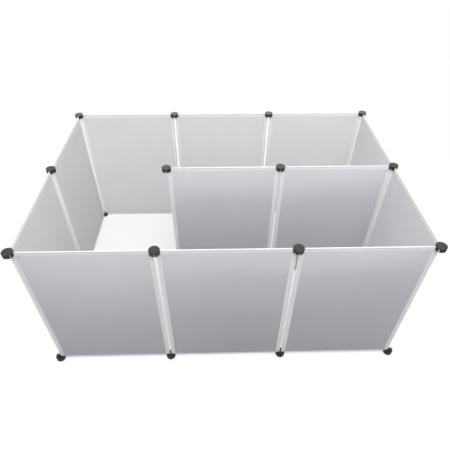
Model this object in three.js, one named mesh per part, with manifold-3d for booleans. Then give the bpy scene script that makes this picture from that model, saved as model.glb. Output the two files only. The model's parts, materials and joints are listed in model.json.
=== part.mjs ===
// Modular pet playpen. Each wall panel is a frosted plastic sheet, hemmed round a steel wire frame whose four
// corners are left bare. Round black clip connectors, caps down on the floor and caps up along the rim, take
// the bare corners in their slots and join the panels. The pen is three panels long and two deep, and a
// divider of two panels parts it into a front and a back run, joined by a passage on the left.
//
// Millimetres, +Z up. The origin is on the floor under the middle of the pen. The long side runs along X and
// the front wall faces -Y.

import * as THREE from "three";
import { mergeVertices } from "three/addons/utils/BufferGeometryUtils.js";
import Module from "manifold-3d";

const wasm = await Module();
wasm.setup();

// Layout, in panels
const columns = 3;
const rowNames = ["front", "middle", "back"]; // lines of posts, each a panel's width behind the last
const rows = rowNames.length - 1;
const dividerRow = 1; // the line of posts that the divider stands on
const dividerColumns = 2; // counted from the right wall

// Panel, measured over its hems
const panelWidth = 508;
const panelHeight = 711;
const sheetThickness = 0.8;
const hemWidth = 19; // from the panel's outer edge to the inner edge of the weld

// Wire frame
const wireDiameter = 3.2;
const wireBend = 6; // centreline radius of a frame's corners
const tunnelClearance = 0.3; // between the wire and the hem that it runs in

// Connector
const connectorDiameter = 41;
const connectorHeight = 19;
const capThickness = 3.5;
const hubDiameter = 8;
const slotCount = 8;
const slotClearance = 0.3; // between a wire and each claw or hub beside it
const seatClearance = 0.3; // between a frame and the inside of a cap
const cornerGap = 3; // between a connector and the ends of the hems beside it

// Facets. Wires, beads and hubs are octagons, measured across their flats.
const octagonSides = 8;
const octagonCorner = Math.PI / octagonSides; // from the middle of a flat to a corner
const bendSegments = 1; // an arc gets two facets for each
const capSides = 24;
const mergeDistance = 1e-4; // vertices this close are one

// Sizes that follow
const wireRadius = wireDiameter / 2;
const tunnelRadius = wireRadius + tunnelClearance;
const beadRadius = tunnelRadius + sheetThickness;
const frameWidth = panelWidth - 2 * beadRadius; // between wire centrelines
const frameHeight = panelHeight - 2 * beadRadius;
const wireOffset = hubDiameter / 2 + slotClearance + wireRadius; // post's axis to a frame's upright
const postSpacing = frameWidth + 2 * wireOffset;
const wireDepth = capThickness + seatClearance + wireRadius; // cap's outer face to a frame's level wire
const penHeight = frameHeight + 2 * wireDepth;
const slotWidth = wireDiameter + 2 * slotClearance;
const clawInnerRadius = wireOffset + wireRadius + slotClearance;

// How far from a frame's corner, along each wire, its hem begins
const levelBare = connectorDiameter / 2 + cornerGap - wireOffset;
const uprightBare = connectorHeight + cornerGap - wireDepth;

// Where the posts stand: column 0 is on the left, row 0 at the front
const postX = (column) => (column - columns / 2) * postSpacing;
const postY = (row) => (row - rows / 2) * postSpacing;

const frosted = new THREE.MeshStandardMaterial({ color: 0xd9dce3, roughness: 0.5, metalness: 0 });
const coatedWire = new THREE.MeshStandardMaterial({ color: 0xf0f0ee, roughness: 0.35, metalness: 0.2 });
const blackPlastic = new THREE.MeshStandardMaterial({ color: 0x1d1d1f, roughness: 0.45, metalness: 0 });

// Solids

function toSolid(geometry) {
  const bare = geometry.clone();
  bare.deleteAttribute("normal");
  bare.deleteAttribute("uv");
  const merged = mergeVertices(bare, mergeDistance);
  const vertProperties = new Float32Array(merged.attributes.position.array);
  const triVerts = new Uint32Array(merged.index.array);
  return new wasm.Manifold(new wasm.Mesh({ numProp: 3, vertProperties, triVerts }));
}

function toGeometry(solid) {
  const mesh = solid.getMesh();
  const geometry = new THREE.BufferGeometry();
  geometry.setAttribute("position", new THREE.BufferAttribute(new Float32Array(mesh.vertProperties), 3));
  geometry.setIndex(new THREE.BufferAttribute(new Uint32Array(mesh.triVerts), 1));
  const faceted = geometry.toNonIndexed();
  faceted.computeVertexNormals();
  return faceted;
}

function joined(geometries) {
  return geometries.map(toSolid).reduce((whole, piece) => whole.add(piece));
}

function cut(solid, geometries) {
  return geometries.map(toSolid).reduce((left, tool) => left.subtract(tool), solid);
}

// A bar with eight flats, one of which faces each axis across it.
function octagonalBar(radius, length) {
  const corner = radius / Math.cos(octagonCorner);
  return new THREE.CylinderGeometry(corner, corner, length, octagonSides, 1, false, octagonCorner);
}

// Wire frame

function drawRoundedRectangle(path, width, height, bend) {
  const x = width / 2 - bend;
  const y = height / 2 - bend;
  const quarter = Math.PI / 2;
  path.absarc(x, y, bend, 0, quarter);
  path.absarc(-x, y, bend, quarter, 2 * quarter);
  path.absarc(-x, -y, bend, 2 * quarter, 3 * quarter);
  path.absarc(x, -y, bend, 3 * quarter, 4 * quarter);
  path.closePath();
  return path;
}

// One length of wire, bent to a rectangle and welded to itself. Bevels on a flat ring give its eight sides.
function wireFrameGeometry() {
  const flat = wireDiameter * Math.tan(octagonCorner);
  const bevel = (wireDiameter - flat) / 2;
  const loop = (Path, grow) =>
    drawRoundedRectangle(new Path(), frameWidth + 2 * grow, frameHeight + 2 * grow, wireBend + grow);
  const ring = loop(THREE.Shape, flat / 2);
  ring.holes.push(loop(THREE.Path, -flat / 2));
  const options = {
    depth: flat,
    bevelThickness: bevel,
    bevelSize: bevel,
    bevelSegments: 1,
    curveSegments: bendSegments,
  };
  return new THREE.ExtrudeGeometry(ring, options).translate(0, 0, -flat / 2).rotateX(Math.PI / 2);
}

// Sheet

// The sheet's outline runs along the wires and crosses each corner on the slant, which leaves the bend bare.
function sheetOutline() {
  const x = frameWidth / 2;
  const z = frameHeight / 2;
  const outline = new THREE.Shape();
  outline.moveTo(x, z - uprightBare);
  outline.lineTo(x - levelBare, z);
  outline.lineTo(levelBare - x, z);
  outline.lineTo(-x, z - uprightBare);
  outline.lineTo(-x, uprightBare - z);
  outline.lineTo(levelBare - x, -z);
  outline.lineTo(x - levelBare, -z);
  outline.lineTo(x, uprightBare - z);
  outline.closePath();
  return outline;
}

// An outline made into an upright plate, centred on the XZ plane.
function plate(outline, thickness) {
  const geometry = new THREE.ExtrudeGeometry(outline, { depth: thickness, bevelEnabled: false });
  return geometry.translate(0, 0, -thickness / 2).rotateX(Math.PI / 2);
}

// The hem is folded back on the sheet and welded, so it is two sheets thick.
function hemPlate() {
  const x = panelWidth / 2 - hemWidth;
  const z = panelHeight / 2 - hemWidth;
  const outline = sheetOutline();
  const window = new THREE.Path();
  window.moveTo(x, z);
  window.lineTo(x, -z);
  window.lineTo(-x, -z);
  window.lineTo(-x, z);
  window.closePath();
  outline.holes.push(window);
  return plate(outline, 2 * sheetThickness);
}

// One bar along each side of the frame, stopping short of the corners.
function barsAlongFrame(radius, levelShort, uprightShort) {
  const level = () => octagonalBar(radius, frameWidth - 2 * levelShort).rotateZ(Math.PI / 2);
  const upright = () => octagonalBar(radius, frameHeight - 2 * uprightShort).rotateX(Math.PI / 2);
  return [
    level().translate(0, 0, frameHeight / 2),
    level().translate(0, 0, -frameHeight / 2),
    upright().translate(frameWidth / 2, 0, 0),
    upright().translate(-frameWidth / 2, 0, 0),
  ];
}

function sheetGeometry() {
  const beads = barsAlongFrame(beadRadius, levelBare, uprightBare);
  const tunnels = barsAlongFrame(tunnelRadius, 0, 0);
  const folded = joined([plate(sheetOutline(), sheetThickness), hemPlate(), ...beads]);
  return toGeometry(cut(folded, tunnels));
}

// Connector

// The cap's outer face is at z = 0. The claws stand up from it, with a slot for a wire between each two.
function connectorGeometry() {
  const clawHeight = connectorHeight - capThickness;
  const clawMiddle = capThickness + clawHeight / 2;
  const cutHeight = 2 * clawHeight; // a cut runs out past the claws' tips
  const cutLength = 2 * connectorDiameter; // and past the rim on both sides
  const cutMiddle = capThickness + cutHeight / 2;
  const drum = new THREE.CylinderGeometry(
    connectorDiameter / 2,
    connectorDiameter / 2,
    connectorHeight,
    capSides,
  );
  const well = new THREE.CylinderGeometry(
    clawInnerRadius / Math.cos(octagonCorner),
    clawInnerRadius / Math.cos(octagonCorner),
    cutHeight,
    octagonSides,
  );
  const hub = octagonalBar(hubDiameter / 2, clawHeight);
  const slots = Array.from({ length: slotCount / 2 }, (_, slot) =>
    new THREE.BoxGeometry(cutLength, slotWidth, cutHeight)
      .rotateZ((slot * 2 * Math.PI) / slotCount)
      .translate(0, 0, cutMiddle),
  );
  const clawed = cut(toSolid(drum.rotateX(Math.PI / 2).translate(0, 0, connectorHeight / 2)), [
    well.rotateX(Math.PI / 2).translate(0, 0, cutMiddle),
    ...slots,
  ]);
  return toGeometry(clawed.add(toSolid(hub.rotateX(Math.PI / 2).translate(0, 0, clawMiddle))));
}

// Assembly

const pen = new THREE.Group();
const frameShape = wireFrameGeometry();
const sheetShape = sheetGeometry();
const connectorShape = connectorGeometry();

function named(name, geometry, material) {
  const mesh = new THREE.Mesh(geometry, material);
  mesh.name = name;
  return mesh;
}

// A panel stands between two neighbouring posts.
function addPanel(wall, number, from, to) {
  const panel = new THREE.Group();
  panel.add(named(`${wall}_sheet_${number}`, sheetShape, frosted));
  panel.add(named(`${wall}_wire_frame_${number}`, frameShape, coatedWire));
  const x = (postX(from[0]) + postX(to[0])) / 2;
  const y = (postY(from[1]) + postY(to[1])) / 2;
  panel.position.set(x, y, penHeight / 2);
  panel.rotation.z = from[0] === to[0] ? Math.PI / 2 : 0;
  pen.add(panel);
}

for (let column = 0; column < columns; column++) {
  addPanel("front", column + 1, [column, 0], [column + 1, 0]);
  addPanel("back", column + 1, [column, rows], [column + 1, rows]);
}
for (let row = 0; row < rows; row++) {
  addPanel("left", row + 1, [0, row], [0, row + 1]);
  addPanel("right", row + 1, [columns, row], [columns, row + 1]);
}
for (let number = 1; number <= dividerColumns; number++) {
  const column = columns - dividerColumns + number - 1;
  addPanel("divider", number, [column, dividerRow], [column + 1, dividerRow]);
}

for (let row = 0; row <= rows; row++) {
  for (let column = 0; column <= columns; column++) {
    const place = `${rowNames[row]}_${column + 1}`;
    const foot = named(`bottom_connector_${place}`, connectorShape, blackPlastic);
    foot.position.set(postX(column), postY(row), 0);
    const cap = named(`top_connector_${place}`, connectorShape, blackPlastic);
    cap.position.set(postX(column), postY(row), penHeight);
    cap.rotation.x = Math.PI;
    pen.add(foot, cap);
  }
}

export default pen;
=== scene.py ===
# Panel playpen: frosted sheets, round wire frames and moulded clip connectors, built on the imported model.
import json
import math

import bpy
from mathutils import Matrix, Vector


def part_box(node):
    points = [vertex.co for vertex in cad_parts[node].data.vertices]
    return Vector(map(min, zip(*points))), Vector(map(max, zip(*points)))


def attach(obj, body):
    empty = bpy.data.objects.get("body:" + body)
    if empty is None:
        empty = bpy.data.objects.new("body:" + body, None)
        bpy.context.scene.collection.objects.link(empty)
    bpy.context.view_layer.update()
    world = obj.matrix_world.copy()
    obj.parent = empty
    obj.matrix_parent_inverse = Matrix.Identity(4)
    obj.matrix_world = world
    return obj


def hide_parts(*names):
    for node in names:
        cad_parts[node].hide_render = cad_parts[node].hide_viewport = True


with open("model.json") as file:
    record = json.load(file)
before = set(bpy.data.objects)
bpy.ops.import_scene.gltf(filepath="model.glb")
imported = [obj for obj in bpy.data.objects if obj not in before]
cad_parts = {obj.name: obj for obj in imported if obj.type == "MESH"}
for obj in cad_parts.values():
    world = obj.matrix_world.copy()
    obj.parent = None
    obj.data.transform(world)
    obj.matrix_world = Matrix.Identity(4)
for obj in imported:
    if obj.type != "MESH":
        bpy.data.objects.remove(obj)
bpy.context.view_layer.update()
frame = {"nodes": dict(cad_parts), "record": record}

mm = 0.001
quarterTurn = math.pi / 2
near = 0.01 * mm  # points closer than this are one


def sizeOf(node):
    low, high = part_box(node)
    return high - low


# One sheet, one frame and one connector give the sizes that all of their kind share
sheetSize = sizeOf("front_sheet_1")
wireSize = sizeOf("front_wire_frame_1")
clipSize = sizeOf("bottom_connector_front_1")
wireRadius = wireSize.y / 2
beadRadius = sheetSize.y / 2
frameHalfWidth = wireSize.x / 2 - wireRadius  # to the middle of the wire
frameHalfHeight = wireSize.z / 2 - wireRadius


# Operators act on all that is selected, so each step starts from one active piece
def makeActive(piece):
    bpy.ops.object.select_all(action="DESELECT")
    piece.select_set(True)
    bpy.context.view_layer.objects.active = piece
    return piece


def applyModifier(piece, kind, **settings):
    makeActive(piece)
    modifier = piece.modifiers.new(kind.title(), kind)
    for setting, value in settings.items():
        setattr(modifier, setting, value)
    bpy.ops.object.modifier_apply(modifier=modifier.name)


def combine(piece, tools, operation):
    for tool in tools:
        applyModifier(piece, "BOOLEAN", operation=operation, object=tool, solver="EXACT")
        bpy.data.objects.remove(tool)


def startCylinder(radius, length, middle, sides, turn=(0, 0, 0)):
    bpy.ops.object.select_all(action="DESELECT")
    bpy.ops.mesh.primitive_cylinder_add(
        vertices=sides, radius=radius, depth=length, location=middle, rotation=turn, calc_uvs=False
    )
    bpy.ops.object.transform_apply(location=True, rotation=True, scale=True)
    return bpy.context.object


def startBox(size, middle, turn=(0, 0, 0)):
    bpy.ops.object.select_all(action="DESELECT")
    bpy.ops.mesh.primitive_cube_add(size=1, location=middle, rotation=turn, calc_uvs=False)
    bpy.context.object.scale = size
    bpy.ops.object.transform_apply(location=True, rotation=True, scale=True)
    return bpy.context.object


def startUprightPlane(width, height):
    bpy.ops.object.select_all(action="DESELECT")
    bpy.ops.mesh.primitive_plane_add(size=1, rotation=(quarterTurn, 0, 0), calc_uvs=False)
    bpy.context.object.scale = (width, height, 1)
    bpy.ops.object.transform_apply(location=True, rotation=True, scale=True)
    return bpy.context.object


def editFaces(piece, wanted):  # leaves edit mode open with the wanted faces selected
    makeActive(piece)
    bpy.ops.object.mode_set(mode="EDIT")
    bpy.ops.mesh.select_mode(type="FACE")
    bpy.ops.mesh.select_all(action="DESELECT")
    bpy.ops.object.mode_set(mode="OBJECT")
    for face in piece.data.polygons:
        face.select = wanted(face)
    bpy.ops.object.mode_set(mode="EDIT")


def editEdges(piece, wanted):  # wanted is asked about the two ends of each edge
    makeActive(piece)
    bpy.ops.object.mode_set(mode="EDIT")
    bpy.ops.mesh.select_mode(type="EDGE")
    bpy.ops.mesh.select_all(action="DESELECT")
    bpy.ops.object.mode_set(mode="OBJECT")
    points = piece.data.vertices
    for edge in piece.data.edges:
        edge.select = wanted(points[edge.vertices[0]].co, points[edge.vertices[1]].co)
    bpy.ops.object.mode_set(mode="EDIT")


def leaveEdit():
    bpy.ops.object.mode_set(mode="OBJECT")


def mergeClose(piece):
    editFaces(piece, lambda face: True)
    bpy.ops.mesh.remove_doubles(threshold=near)
    leaveEdit()


# Flat faces stay flat beside the rounded edges
def smoothRounds(piece, degrees):
    makeActive(piece)
    bpy.ops.object.shade_smooth_by_angle(angle=math.radians(degrees))
    applyModifier(piece, "WEIGHTED_NORMAL", keep_sharp=True)


def placeCopy(model, name, place, turn):
    makeActive(model)
    bpy.ops.object.duplicate()
    piece = bpy.context.object
    piece.name = name
    piece.data.name = name
    piece.rotation_euler = turn
    piece.location = place
    bpy.ops.object.transform_apply(location=True, rotation=True, scale=True)
    return piece


# Maths on a signal adds the nodes that work it out
class Signal:
    def __init__(self, look, socket):
        self.look = look
        self.socket = socket

    def maths(self, operation, *others):
        values = dict(enumerate((self, *others)))
        return self.look.read(self.look.add("Math", {"operation": operation}, values))

    def __add__(self, other):
        return self.maths("ADD", other)

    def __sub__(self, other):
        return self.maths("SUBTRACT", other)

    def __rsub__(self, other):
        return self.maths("MULTIPLY_ADD", -1, other)

    def __mul__(self, other):
        return self.maths("MULTIPLY", other)

    __radd__ = __add__
    __rmul__ = __mul__

    def __abs__(self):
        return self.maths("ABSOLUTE")

    def fade(self, start, end):  # 0 before start, 1 after end
        values = {"Value": self, "From Min": start, "From Max": end}
        return self.look.read(self.look.add("MapRange", {"interpolation_type": "SMOOTHSTEP"}, values))


# A Mix node's color sockets go by number, because its other kinds of socket have the same names
mixSockets = {"first": 6, "second": 7, "mixed": 2}


class Look:  # the nodes of a material or a world
    def __init__(self, owner):
        owner.use_nodes = True
        self.owner = owner
        self.tree = owner.node_tree
        self.tree.nodes.clear()

    def add(self, kind, settings=None, values=None):
        node = self.tree.nodes.new("ShaderNode" + kind)
        for setting, value in (settings or {}).items():
            setattr(node, setting, value)
        for place, value in (values or {}).items():
            if isinstance(value, Signal):
                self.tree.links.new(value.socket, node.inputs[place])
            elif isinstance(value, bpy.types.NodeSocket):
                self.tree.links.new(value, node.inputs[place])
            else:
                node.inputs[place].default_value = value
        return node

    def read(self, node, output=0):
        return Signal(self, node.outputs[output])

    def noise(self, coordinates, size, detail):  # size of one mottle, in metres
        values = {"Vector": coordinates, "Scale": 1 / size, "Detail": detail}
        return self.read(self.add("TexNoise", values=values), "Fac")

    def mixColor(self, share, first, second):
        values = {"Factor": share, mixSockets["first"]: first, mixSockets["second"]: second}
        return self.add("Mix", {"data_type": "RGBA"}, values).outputs[mixSockets["mixed"]]

    def mixShader(self, share, first, second):
        return self.add("MixShader", values={0: share, 1: first.outputs[0], 2: second.outputs[0]})

    def bump(self, relief):  # relief in metres
        return self.add("Bump", values={"Height": relief, "Distance": 1, "Strength": 1}).outputs["Normal"]

    def finishWith(self, shader, output="OutputMaterial"):
        self.add(output, values={"Surface": shader.outputs[0]})
        return self.owner


# Frosted sheet: a flat web with a doubled, welded hem, and a round bead over each wire
sheet = {
    "thickness": 0.8 * mm,
    "hemWidth": 19 * mm,  # from the panel's outer edge, as the weld's start and end are
    "weldStart": 6.2 * mm,
    "weldEnd": 9.2 * mm,
    "weldDepth": 0.2 * mm,
    "slope": 0.5 * mm,  # run of the slopes beside the weld and down to the web
    "cornerBare": 18 * mm,  # of the wire, from the frame's corner to the hem
    "tunnelClearance": 0.3 * mm,
    "beadSides": 24,
    "edgeRound": 0.12 * mm,
    "edgeAngle": 50,  # degrees; sharper edges are rounded
    "smoothAngle": 20,  # a bead's facets meet at less
}


def depthInSheet(point):  # distance in from the sheet's outline, which cuts each corner on the slant
    across = frameHalfWidth - abs(point.x)
    along = frameHalfHeight - abs(point.z)
    return min(across, along, (across + along - sheet["cornerBare"]) / math.sqrt(2))


def barsAlongFrame(radius, short):
    sides = sheet["beadSides"]
    bars = []
    for side in (-1, 1):
        level = (0, 0, side * frameHalfHeight)
        upright = (side * frameHalfWidth, 0, 0)
        bars.append(startCylinder(radius, 2 * (frameHalfWidth - short), level, sides, (0, quarterTurn, 0)))
        bars.append(startCylinder(radius, 2 * (frameHalfHeight - short), upright, sides))
    return bars


def makeSheet():
    piece = startUprightPlane(2 * frameHalfWidth, 2 * frameHalfHeight)
    bpy.ops.object.mode_set(mode="EDIT")
    bpy.ops.mesh.select_all(action="SELECT")
    bpy.ops.mesh.bevel(offset=sheet["cornerBare"], affect="VERTICES", segments=1)
    bpy.ops.mesh.select_mode(type="FACE")
    bpy.ops.mesh.select_all(action="SELECT")
    weldStart = sheet["weldStart"] - beadRadius
    weldEnd = sheet["weldEnd"] - beadRadius
    hemEnd = sheet["hemWidth"] - beadRadius
    slope = sheet["slope"]
    rings = [weldStart, weldStart + slope, weldEnd - slope, weldEnd, hemEnd - slope, hemEnd]
    for outer, inner in zip([0] + rings, rings):
        bpy.ops.mesh.inset(thickness=inner - outer, use_even_offset=True)
    leaveEdit()
    applyModifier(piece, "SOLIDIFY", thickness=sheet["thickness"], offset=0)

    # The hem is folded back on the sheet, and the weld is pressed into it
    for point in piece.data.vertices:
        depth = depthInSheet(point.co)
        onHem = depth < hemEnd - slope / 2
        onWeld = weldStart + slope / 2 < depth < weldEnd - slope / 2
        lift = onHem * sheet["thickness"] / 2 - onWeld * sheet["weldDepth"]
        point.co.y += math.copysign(lift, point.co.y)

    combine(piece, barsAlongFrame(beadRadius, sheet["cornerBare"]), "UNION")
    tunnelRadius = wireRadius + sheet["tunnelClearance"]
    combine(piece, barsAlongFrame(tunnelRadius, 0), "DIFFERENCE")
    edgeAngle = math.radians(sheet["edgeAngle"])
    applyModifier(piece, "BEVEL", width=sheet["edgeRound"], angle_limit=edgeAngle, segments=1)
    mergeClose(piece)
    smoothRounds(piece, sheet["smoothAngle"])

    uv = piece.data.uv_layers.new(name="PanelMetres")  # metres from the panel's middle
    for loop in piece.data.loops:
        point = piece.data.vertices[loop.vertex_index].co
        uv.data[loop.index].uv = (point.x, point.z)
    return piece


# Round wire, bent to a frame and welded to itself
wire = {
    "bend": 6 * mm,
    "bendSegments": 8,
    "roundness": 3,
    "smoothAngle": 50,
}


def makeWireFrame():
    startUprightPlane(2 * frameHalfWidth, 2 * frameHalfHeight)
    bpy.ops.object.mode_set(mode="EDIT")
    bpy.ops.mesh.select_all(action="SELECT")
    bpy.ops.mesh.bevel(offset=wire["bend"], affect="VERTICES", segments=wire["bendSegments"])
    bpy.ops.mesh.select_all(action="SELECT")
    bpy.ops.mesh.delete(type="ONLY_FACE")
    leaveEdit()
    bpy.ops.object.convert(target="CURVE")
    curve = bpy.context.object.data
    curve.bevel_depth = wireRadius
    curve.bevel_resolution = wire["roundness"]
    bpy.ops.object.convert(target="MESH")
    piece = bpy.context.object
    smoothRounds(piece, wire["smoothAngle"])
    return piece


# Clip connector: a round cap with a ring of claws and a hub, moulded in one
clip = {
    "cap": 3.5 * mm,
    "hubRadius": 4 * mm,
    "clearance": 0.3 * mm,  # beside each wire
    "slots": 8,
    "sides": 64,
    "rimRound": 0.9 * mm,  # on the cap's outer edge
    "rimSegments": 3,
    "tipTaper": 1.5 * mm,  # on the outside of the claws' tips
    "tipSegments": 2,
    "hubDrop": 1.5 * mm,  # from the claws' tips to the hub's
    "gateRadius": 1.8 * mm,  # of the dimple where the plastic was let into the mould
    "gateDepth": 0.3 * mm,
    "slotOverrun": 1 * mm,  # of each cut into the well
    "edgeRound": 0.35 * mm,
    "edgeSegments": 2,
    "edgeAngle": 45,
    "smoothAngle": 35,
}


def makeClip():  # the cap's outer face is at z = 0 and the claws stand up
    radius = clipSize.x / 2
    height = clipSize.z
    # One clearance wider than the well in the CAD
    wellRadius = clip["hubRadius"] + 2 * (clip["clearance"] + wireRadius) + clip["clearance"]
    slotWidth = 2 * (wireRadius + clip["clearance"])
    piece = startCylinder(radius, height, (0, 0, height / 2), clip["sides"])

    editEdges(piece, lambda a, b: a.z < near and b.z < near)
    bpy.ops.mesh.bevel(offset=clip["rimRound"], segments=clip["rimSegments"])
    leaveEdit()
    editEdges(piece, lambda a, b: a.z > height - near and b.z > height - near)
    bpy.ops.mesh.bevel(offset=clip["tipTaper"], segments=clip["tipSegments"])
    leaveEdit()

    # The gate's dimple, in the middle of the cap
    editFaces(piece, lambda face: face.center.z < near)
    bpy.ops.mesh.inset(thickness=radius - clip["rimRound"] - clip["gateRadius"])
    sink = {"value": (0, 0, clip["gateDepth"])}
    bpy.ops.mesh.extrude_region_move(TRANSFORM_OT_translate=sink)
    leaveEdit()

    # The well that the uprights stand in, with the hub in its middle
    editFaces(piece, lambda face: face.center.z > height - near)
    bpy.ops.mesh.inset(thickness=radius - clip["tipTaper"] - wellRadius)
    sink = {"value": (0, 0, clip["cap"] - height)}
    bpy.ops.mesh.extrude_region_move(TRANSFORM_OT_translate=sink)
    bpy.ops.mesh.inset(thickness=wellRadius - clip["hubRadius"])
    rise = {"value": (0, 0, height - clip["cap"] - clip["hubDrop"])}
    bpy.ops.mesh.extrude_region_move(TRANSFORM_OT_translate=rise)
    leaveEdit()

    cutLength = radius  # takes each cut from inside the well to past the rim
    cutMiddle = wellRadius - clip["slotOverrun"] + cutLength / 2
    cuts = []
    for slot in range(clip["slots"]):
        angle = slot * math.tau / clip["slots"]
        middle = Matrix.Rotation(angle, 3, "Z") @ Vector((cutMiddle, 0, clip["cap"] + height / 2))
        cuts.append(startBox((cutLength, slotWidth, height), middle, (0, 0, angle)))
    combine(piece, cuts, "DIFFERENCE")
    edgeAngle = math.radians(clip["edgeAngle"])
    segments = clip["edgeSegments"]
    applyModifier(piece, "BEVEL", width=clip["edgeRound"], angle_limit=edgeAngle, segments=segments)
    mergeClose(piece)
    smoothRounds(piece, clip["smoothAngle"])
    return piece


# Frosted plastic: the web lets more light through than it gives back, and the doubled hem gives back most
frosted = {
    "web": (0.64, 0.648, 0.668, 1),
    "webMottled": (0.62, 0.629, 0.652, 1),
    "hem": (0.95, 0.95, 0.95, 1),
    "throughColor": (0.93, 0.935, 0.945, 1),
    "webThrough": 0.58,  # share of the light that passes on
    "hemThrough": 0.12,
    "beadThrough": 0.06,  # the wire is behind it
    "weldClear": 0.45,  # how far the weld goes back to the web's look
    "hemFade": 0.6 * mm,
    "ior": 1.49,
    "roughness": (0.38, 0.52),
    "weldPolish": 0.08,
    "grain": 1.1 * mm,  # size of the frosting
    "grainDetail": 3,
    "grainRelief": 0.03 * mm,
    "haze": 90 * mm,  # size of the faint cloudiness
    "hazeDetail": 3,
    "hazeFade": (0.35, 0.65),
    "wave": 260 * mm,  # size of the web's waves
    "waveDetail": 1,
    "waveRelief": 1.6 * mm,
    "ribPitch": 1.6 * mm,  # of the weld's cross ribs
    "ribRelief": 0.06 * mm,
}


def makeFrosted():
    look = Look(bpy.data.materials.new("frostedSheet"))
    place = look.add("TexCoord").outputs
    uv = look.add("SeparateXYZ", values={"Vector": place["UV"]})
    across = look.read(uv, "X")
    along = look.read(uv, "Y")
    sideGap = sheetSize.x / 2 - abs(across)
    endGap = sheetSize.z / 2 - abs(along)
    edge = sideGap.maths("MINIMUM", endGap)
    slope = sheet["slope"]
    hem = 1 - edge.fade(sheet["hemWidth"] - frosted["hemFade"], sheet["hemWidth"])
    bead = 1 - edge.fade(2 * beadRadius, sheet["weldStart"])
    afterWeld = edge.fade(sheet["weldEnd"] - slope, sheet["weldEnd"])
    weld = edge.fade(sheet["weldStart"], sheet["weldStart"] + slope) * (1 - afterWeld)
    milky = hem * (1 - weld * frosted["weldClear"])

    # Cross ribs run along whichever hem is nearer
    onSide = sideGap.maths("LESS_THAN", endGap)
    run = along * onSide + across * (1 - onSide)
    ribs = (run * (math.tau / frosted["ribPitch"])).maths("SINE") * weld

    grain = look.noise(place["Object"], frosted["grain"], frosted["grainDetail"])
    haze = look.noise(place["Object"], frosted["haze"], frosted["hazeDetail"])
    wave = look.noise(place["Object"], frosted["wave"], frosted["waveDetail"])
    web = look.mixColor(haze.fade(*frosted["hazeFade"]), frosted["web"], frosted["webMottled"])
    relief = ribs * frosted["ribRelief"] + grain * frosted["grainRelief"]
    relief = relief + wave * frosted["waveRelief"] * (1 - hem)
    normal = look.bump(relief)
    smoothest, roughest = frosted["roughness"]
    roughness = grain * haze.maths("SQRT") * (roughest - smoothest) + smoothest
    surface = {
        "Base Color": look.mixColor(milky, web, frosted["hem"]),
        "Roughness": roughness - weld * frosted["weldPolish"],
        "IOR": frosted["ior"],
        "Normal": normal,
    }
    back = look.add("BsdfPrincipled", values=surface)
    through = look.add("BsdfTranslucent", values={"Color": frosted["throughColor"], "Normal": normal})
    share = milky * (frosted["hemThrough"] - frosted["webThrough"]) + frosted["webThrough"]
    share = share + bead * (frosted["beadThrough"] - frosted["hemThrough"])
    return look.finishWith(look.mixShader(share, back, through))


# Wire's coating: white, with duller ripples
coatedWire = {
    "color": (0.78, 0.78, 0.77, 1),
    "dull": (0.66, 0.66, 0.65, 1),
    "roughness": (0.2, 0.4),
    "ripple": 3 * mm,
    "rippleDetail": 3,
    "rippleFade": (0.4, 0.75),
    "relief": 0.05 * mm,
}


def makeCoatedWire():
    look = Look(bpy.data.materials.new("coatedWire"))
    place = look.add("TexCoord").outputs["Object"]
    ripple = look.noise(place, coatedWire["ripple"], coatedWire["rippleDetail"])
    smoothest, roughest = coatedWire["roughness"]
    dull = ripple.fade(*coatedWire["rippleFade"])
    surface = {
        "Base Color": look.mixColor(dull, coatedWire["color"], coatedWire["dull"]),
        "Roughness": ripple * (roughest - smoothest) + smoothest,
        "Normal": look.bump(ripple * coatedWire["relief"]),
    }
    return look.finishWith(look.add("BsdfPrincipled", values=surface))


# Moulded black plastic: fine grain, flow marks and faint scuffs
blackPlastic = {
    "color": (0.015, 0.0138, 0.012, 1),
    "scuffed": (0.04, 0.035, 0.029, 1),
    "specular": 0.35,
    "roughness": (0.42, 0.66),
    "grain": 0.55 * mm,
    "grainDetail": 2,
    "grainRelief": 0.06 * mm,
    "flow": 14 * mm,
    "flowDetail": 4,
    "flowRelief": 0.12 * mm,
    "grainShare": 0.3,  # of the scuffing; flow has the rest
    "scuffFade": (0.42, 0.68),
}


def makeBlackPlastic():
    look = Look(bpy.data.materials.new("blackPlastic"))
    place = look.add("TexCoord").outputs["Object"]
    grain = look.noise(place, blackPlastic["grain"], blackPlastic["grainDetail"])
    flow = look.noise(place, blackPlastic["flow"], blackPlastic["flowDetail"])
    uneven = grain * blackPlastic["grainShare"] + flow * (1 - blackPlastic["grainShare"])
    scuff = uneven.fade(*blackPlastic["scuffFade"])
    smoothest, roughest = blackPlastic["roughness"]
    surface = {
        "Base Color": look.mixColor(scuff, blackPlastic["color"], blackPlastic["scuffed"]),
        "Roughness": uneven * (roughest - smoothest) + smoothest,
        "Specular IOR Level": blackPlastic["specular"],
        "Normal": look.bump(grain * blackPlastic["grainRelief"] + flow * blackPlastic["flowRelief"]),
    }
    return look.finishWith(look.add("BsdfPrincipled", values=surface))


sheetModel = makeSheet()
sheetModel.data.materials.append(makeFrosted())
print("sheet:", len(sheetModel.data.polygons), "faces")
wireModel = makeWireFrame()
wireModel.data.materials.append(makeCoatedWire())
print("wire frame:", len(wireModel.data.polygons), "faces")
clipModel = makeClip()
clipModel.data.materials.append(makeBlackPlastic())
print("clip:", len(clipModel.data.polygons), "faces")


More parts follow.
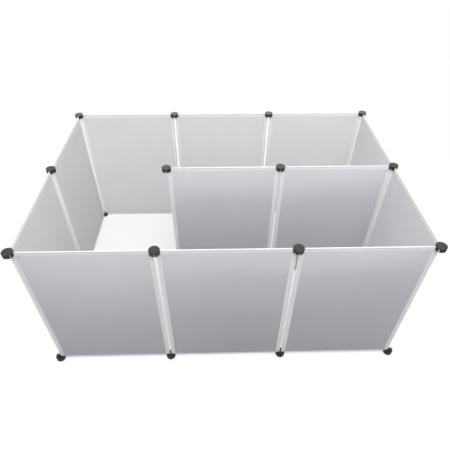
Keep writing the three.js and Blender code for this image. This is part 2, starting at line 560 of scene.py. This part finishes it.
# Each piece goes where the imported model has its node
def placePiece(node, body):
    low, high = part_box(node)
    size = high - low
    middle = (low + high) / 2
    model, title, slot, turn = clipModel, "moulded_", "connector", (0, 0, 0)
    if "sheet" in node or "wire_frame" in node:
        turn = (0, 0, quarterTurn if size.x < size.y else 0)  # side walls run along Y
    if "sheet" in node:
        model, title, slot = sheetModel, "frosted_", "frosted_sheet"
    elif "wire_frame" in node:
        model, title, slot = wireModel, "round_", "frame_wire"
    elif "bottom" in node:
        middle.z = low.z
    else:
        middle.z = high.z
        turn = (math.pi, 0, 0)
    piece = placeCopy(model, title + node, middle, turn)
    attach(piece, body)
    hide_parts(node)


for body, nodes in frame["record"]["behaviour"]["bodies"].items():
    for node in nodes:
        placePiece(node, body)
for model in (sheetModel, wireModel, clipModel):
    bpy.data.objects.remove(model)
print("pieces placed:", len(frame["nodes"]))


# Plain studio: a pale floor, soft lamps and a white surround
studio = {
    "floorHalf": 30,
    "floorBounce": (0.2, 0.19, 0.18, 1),  # what the floor sends back up to the pen
    "floorSeen": (0.97, 0.97, 0.97, 1),
    "floorGlow": 0.55,  # share of plain white in what is seen, near the pen
    "glowFade": (1, 2.4),  # metres from the pen's middle over which it becomes plain white
    "ambient": (0.95, 0.98, 1, 1),
    "ambientStrength": 0.17,
}
white = (1, 1, 1, 1)
lamps = {
    "behindLow": {
        "place": (0, 4.2, 1.3),
        "target": (0, 0.5, 0.36),
        "size": (5, 1.6),
        "power": 118,
        "color": (1, 0.95, 0.88),
    },
    "behindHigh": {
        "place": (0, 4.2, 2.6),
        "target": (0, 0.5, 0.4),
        "size": (5, 2.4),
        "power": 80,
        "color": (0.93, 0.96, 1),
    },
    "frontLow": {
        "place": (0.6, -4.2, 2.0),
        "target": (0, 0, 0.5),
        "size": (3, 2),
        "power": 31,
        "color": (0.93, 0.97, 1),
    },
    "frontHigh": {
        "place": (0.3, -2.6, 4.4),
        "target": (0, 0.3, 0.5),
        "size": (3, 2),
        "power": 170,
        "color": (0.95, 0.96, 1),
    },
    "left": {
        "place": (-4.2, 0.2, 2.2),
        "target": (0, 0, 0.4),
        "size": (3, 2),
        "power": 94,
        "color": (1, 0.95, 0.88),
    },
    "right": {
        "place": (4.2, 0.2, 2.2),
        "target": (0, 0, 0.4),
        "size": (3, 2),
        "power": 110,
        "color": (0.97, 0.97, 1),
    },
}


# 1 for what is looked at, mirrored or seen through glass, but not for what only lights the frosted sheets
def seenRays(look):
    rays = look.add("LightPath")
    seen = look.read(rays, "Is Camera Ray").maths("MAXIMUM", look.read(rays, "Is Glossy Ray"))
    clear = look.read(rays, "Is Transmission Ray") - look.read(rays, "Is Diffuse Ray")
    return seen.maths("MAXIMUM", clear)


def makeFloor():
    bpy.ops.object.select_all(action="DESELECT")
    bpy.ops.mesh.primitive_plane_add(size=2 * studio["floorHalf"])
    floor = bpy.context.object
    floor.name = "floor"
    look = Look(bpy.data.materials.new("paleFloor"))
    place = look.add("TexCoord").outputs["Object"]
    away = look.read(look.add("VectorMath", {"operation": "LENGTH"}, {0: place}), "Value")
    glow = away.fade(*studio["glowFade"]) * (1 - studio["floorGlow"]) + studio["floorGlow"]
    bounce = look.add("BsdfDiffuse", values={"Color": studio["floorBounce"]})
    lit = look.add("BsdfDiffuse", values={"Color": studio["floorSeen"]})
    plain = look.add("Emission", values={"Color": white, "Strength": 1})
    shown = look.mixShader(glow, lit, plain)
    floor.data.materials.append(look.finishWith(look.mixShader(seenRays(look), bounce, shown)))


def makeWorld():
    world = bpy.data.worlds.new("studio")
    bpy.context.scene.world = world
    look = Look(world)
    ambient = {"Color": studio["ambient"], "Strength": studio["ambientStrength"]}
    dim = look.add("Background", values=ambient)
    plain = look.add("Background", values={"Color": white, "Strength": 1})
    look.finishWith(look.mixShader(seenRays(look), dim, plain), "OutputWorld")


def addLamp(name, place, target, size, power, color):
    lamp = bpy.data.lights.new(name, "AREA")
    lamp.shape = "RECTANGLE"
    lamp.size, lamp.size_y = size
    lamp.energy = power
    lamp.color = color
    holder = bpy.data.objects.new(name, lamp)
    bpy.context.scene.collection.objects.link(holder)
    holder.location = place
    holder.rotation_euler = (Vector(target) - Vector(place)).to_track_quat("-Z", "Y").to_euler()


makeFloor()
makeWorld()
for name, lamp in lamps.items():
    addLamp(name, **lamp)


view = {
    "place": (-0.0341, -1.5097, 1.7343),
    "azimuth": 1.58,  # degrees from +Y towards +X
    "down": 42.26,
    "roll": 0.33,
    "lens": 32.1,
    "sensor": 36,
}


def makeCamera():
    azimuth, down, roll = (math.radians(view[angle]) for angle in ("azimuth", "down", "roll"))
    level = math.cos(down)
    forward = Vector((math.sin(azimuth) * level, math.cos(azimuth) * level, -math.sin(down)))
    turn = forward.to_track_quat("-Z", "Y") @ Matrix.Rotation(roll, 3, "Z").to_quaternion()
    camera = bpy.data.cameras.new("camera")
    camera.lens = view["lens"]
    camera.sensor_width = view["sensor"]
    holder = bpy.data.objects.new("camera", camera)
    bpy.context.scene.collection.objects.link(holder)
    holder.location = view["place"]
    holder.rotation_euler = turn.to_euler()
    bpy.context.scene.camera = holder


makeCamera()
bpy.context.scene.view_settings.view_transform = "Standard"
print("stage set")
